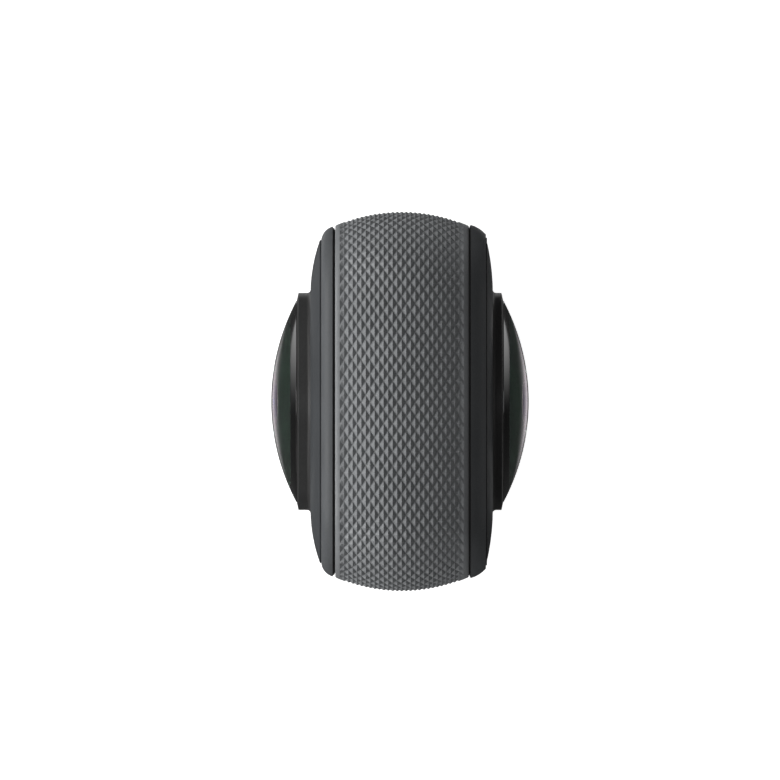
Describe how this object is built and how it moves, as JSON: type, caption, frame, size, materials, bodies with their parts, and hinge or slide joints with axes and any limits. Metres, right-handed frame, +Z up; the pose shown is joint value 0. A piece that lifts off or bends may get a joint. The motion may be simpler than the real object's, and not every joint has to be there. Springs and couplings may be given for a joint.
{
  "type": "360 degree camera",
  "caption": "Slim upright 360 degree camera with a domed fisheye lens on each face, a knurled grip band, a touch screen, press buttons, a hinged cable door and a slide-out battery.",
  "frame": {"origin": "centre of the flat base, midway between the tips of the lenses", "axes": "+Z up along the height, -Y out of the screen side along the lens axis, +X to the right as seen from the screen side"},
  "size_m": [0.046, 0.0314, 0.114],
  "materials": {
    "grip": "satin graphite plastic, moulded in small diamonds",
    "shell": "fine matt dark grey plastic",
    "face": "fine matt charcoal plastic",
    "frame": "plain matt black plastic",
    "lens_ring": "satin black metal ring",
    "bezel": "polished black",
    "dome_glass": "clear polished glass with a faint pink and green coating",
    "inner_glass": "coated glass, dark with a pink sheen",
    "lens_black": "dead matt black",
    "rubber": "matt black rubber",
    "screen": "polished black cover glass",
    "display": "dark display panel",
    "shutter_key": "satin black with a red ring",
    "key": "satin black",
    "board": "green solder mask",
    "flex": "amber film",
    "copper": "plain copper and gilt contacts",
    "steel": "plain steel",
    "nut_steel": "turned steel",
    "battery_case": "plain matt black plastic",
    "latch": "mid grey satin plastic",
    "light_pipe": "milky clear plastic"
  },
  "bodies": {
    "camera": {"grip_band": "grip", "front_shell": "shell", "rear_shell": "shell", "base_cap": "shell", "front_face": "face", "rear_face": "face", "button_panel": "face", "mid_frame": "frame", "front_lens_ring": "lens_ring", "rear_lens_ring": "lens_ring", "front_lens_bezel": "bezel", "rear_lens_bezel": "bezel", "front_dome_lens": "dome_glass", "rear_dome_lens": "dome_glass", "front_inner_lens": "inner_glass", "rear_inner_lens": "inner_glass", "front_lens_barrel": "lens_black", "rear_lens_barrel": "lens_black", "speaker": "lens_black", "contact_block": "lens_black", "front_gasket": "rubber", "rear_gasket": "rubber", "front_lens_seal": "rubber", "rear_lens_seal": "rubber", "screen_glass": "screen", "display_panel": "display", "front_sensor_board": "board", "rear_sensor_board": "board", "front_button_board": "board", "side_button_board": "board", "main_board": "board", "front_sensor_flex": "flex", "rear_sensor_flex": "flex", "display_flex": "flex", "heat_spreader": "copper", "microphones": "copper", "lens_screws": "steel", "door_pin": "steel", "cable_port": "steel", "shield_can": "steel", "card_socket": "steel", "base_screws": "steel", "shell_screws": "steel", "tripod_nut": "nut_steel", "light_pipes": "light_pipe"},
    "shutter": {"shutter_button": "shutter_key"},
    "menu": {"menu_button": "key"},
    "power": {"power_button": "key"},
    "quick": {"quick_button": "key"},
    "door": {"cable_door": "grip", "door_seal": "rubber"},
    "battery": {"battery_pack": "battery_case", "battery_cover": "grip", "battery_seal": "rubber", "battery_terminals": "copper"},
    "upper_latch": {"upper_latch": "latch"},
    "lower_latch": {"lower_latch": "latch"}
  },
  "joints": [
    {"name": "shutter_press", "type": "slide", "parent": "camera", "child": "shutter", "axis": [0, 1, 0], "range_m": [0, 0.0004], "stiffness_N_per_m": 60},
    {"name": "menu_press", "type": "slide", "parent": "camera", "child": "menu", "axis": [0, 1, 0], "range_m": [0, 0.0004], "stiffness_N_per_m": 60},
    {"name": "power_press", "type": "slide", "parent": "camera", "child": "power", "axis": [-1, 0, 0], "range_m": [0, 0.0004], "stiffness_N_per_m": 60},
    {"name": "quick_press", "type": "slide", "parent": "camera", "child": "quick", "axis": [-1, 0, 0], "range_m": [0, 0.0004], "stiffness_N_per_m": 60},
    {"name": "door_swing", "type": "hinge", "parent": "camera", "child": "door", "pos_m": [-0.0216, 0.0002, 0.0656], "axis": [0, -1, 0], "range_deg": [0, 90]},
    {"name": "battery_slide", "type": "slide", "parent": "camera", "child": "battery", "axis": [-1, 0, 0], "range_m": [0, 0.038]},
    {"name": "upper_latch_slide", "type": "slide", "parent": "battery", "child": "upper_latch", "axis": [0, 0, 1], "range_m": [0, 0.0016]},
    {"name": "lower_latch_slide", "type": "slide", "parent": "battery", "child": "lower_latch", "axis": [0, 0, -1], "range_m": [0, 0.0016]}
  ]
}
